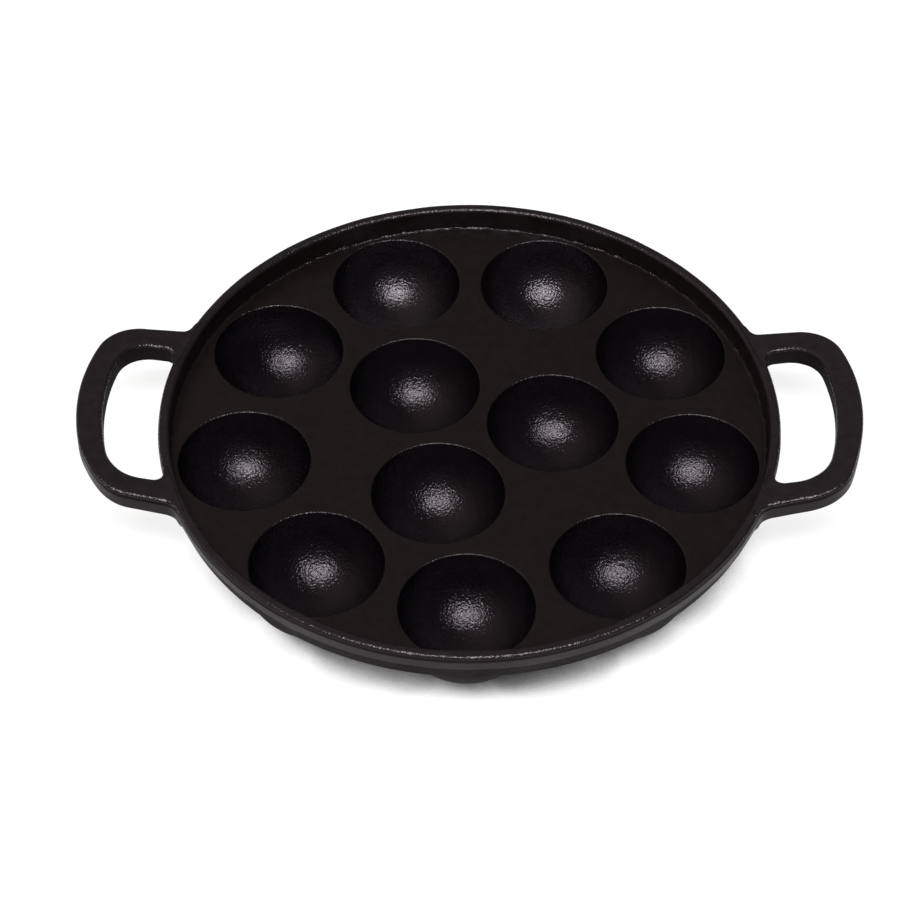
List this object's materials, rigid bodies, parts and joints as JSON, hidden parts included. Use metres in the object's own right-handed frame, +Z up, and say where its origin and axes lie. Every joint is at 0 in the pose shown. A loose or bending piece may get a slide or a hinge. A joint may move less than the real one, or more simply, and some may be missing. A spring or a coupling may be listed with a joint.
{
  "type": "paniyaram pan",
  "caption": "Round cast-iron pan with a raised rim, two loop handles and rings of round-bottomed cups for cooking batter balls on a hob.",
  "frame": {"origin": "on the surface the pan stands on, under the middle of the tray", "axes": "+Z up, +X from one handle to the other, towards the right handle"},
  "size_m": [0.2896, 0.2294, 0.0421],
  "materials": {
    "seasoned_iron": "satin black seasoned sand casting with a fine grain"
  },
  "bodies": {
    "root": {"centre_web": "seasoned_iron", "ring_web_1": "seasoned_iron", "ring_web_2": "seasoned_iron", "ring_web_3": "seasoned_iron", "ring_web_4": "seasoned_iron", "ring_web_5": "seasoned_iron", "ring_web_6": "seasoned_iron", "edge_web_1": "seasoned_iron", "edge_web_2": "seasoned_iron", "edge_web_3": "seasoned_iron", "edge_web_4": "seasoned_iron", "edge_web_5": "seasoned_iron", "edge_web_6": "seasoned_iron", "edge_web_7": "seasoned_iron", "edge_web_8": "seasoned_iron", "edge_web_9": "seasoned_iron", "rim_wall": "seasoned_iron", "outer_cup_1": "seasoned_iron", "outer_cup_2": "seasoned_iron", "outer_cup_3": "seasoned_iron", "outer_cup_4": "seasoned_iron", "outer_cup_5": "seasoned_iron", "outer_cup_6": "seasoned_iron", "outer_cup_7": "seasoned_iron", "outer_cup_8": "seasoned_iron", "outer_cup_9": "seasoned_iron", "inner_cup_1": "seasoned_iron", "inner_cup_2": "seasoned_iron", "inner_cup_3": "seasoned_iron", "handle_right": "seasoned_iron", "handle_left": "seasoned_iron"}
  },
  "joints": []
}
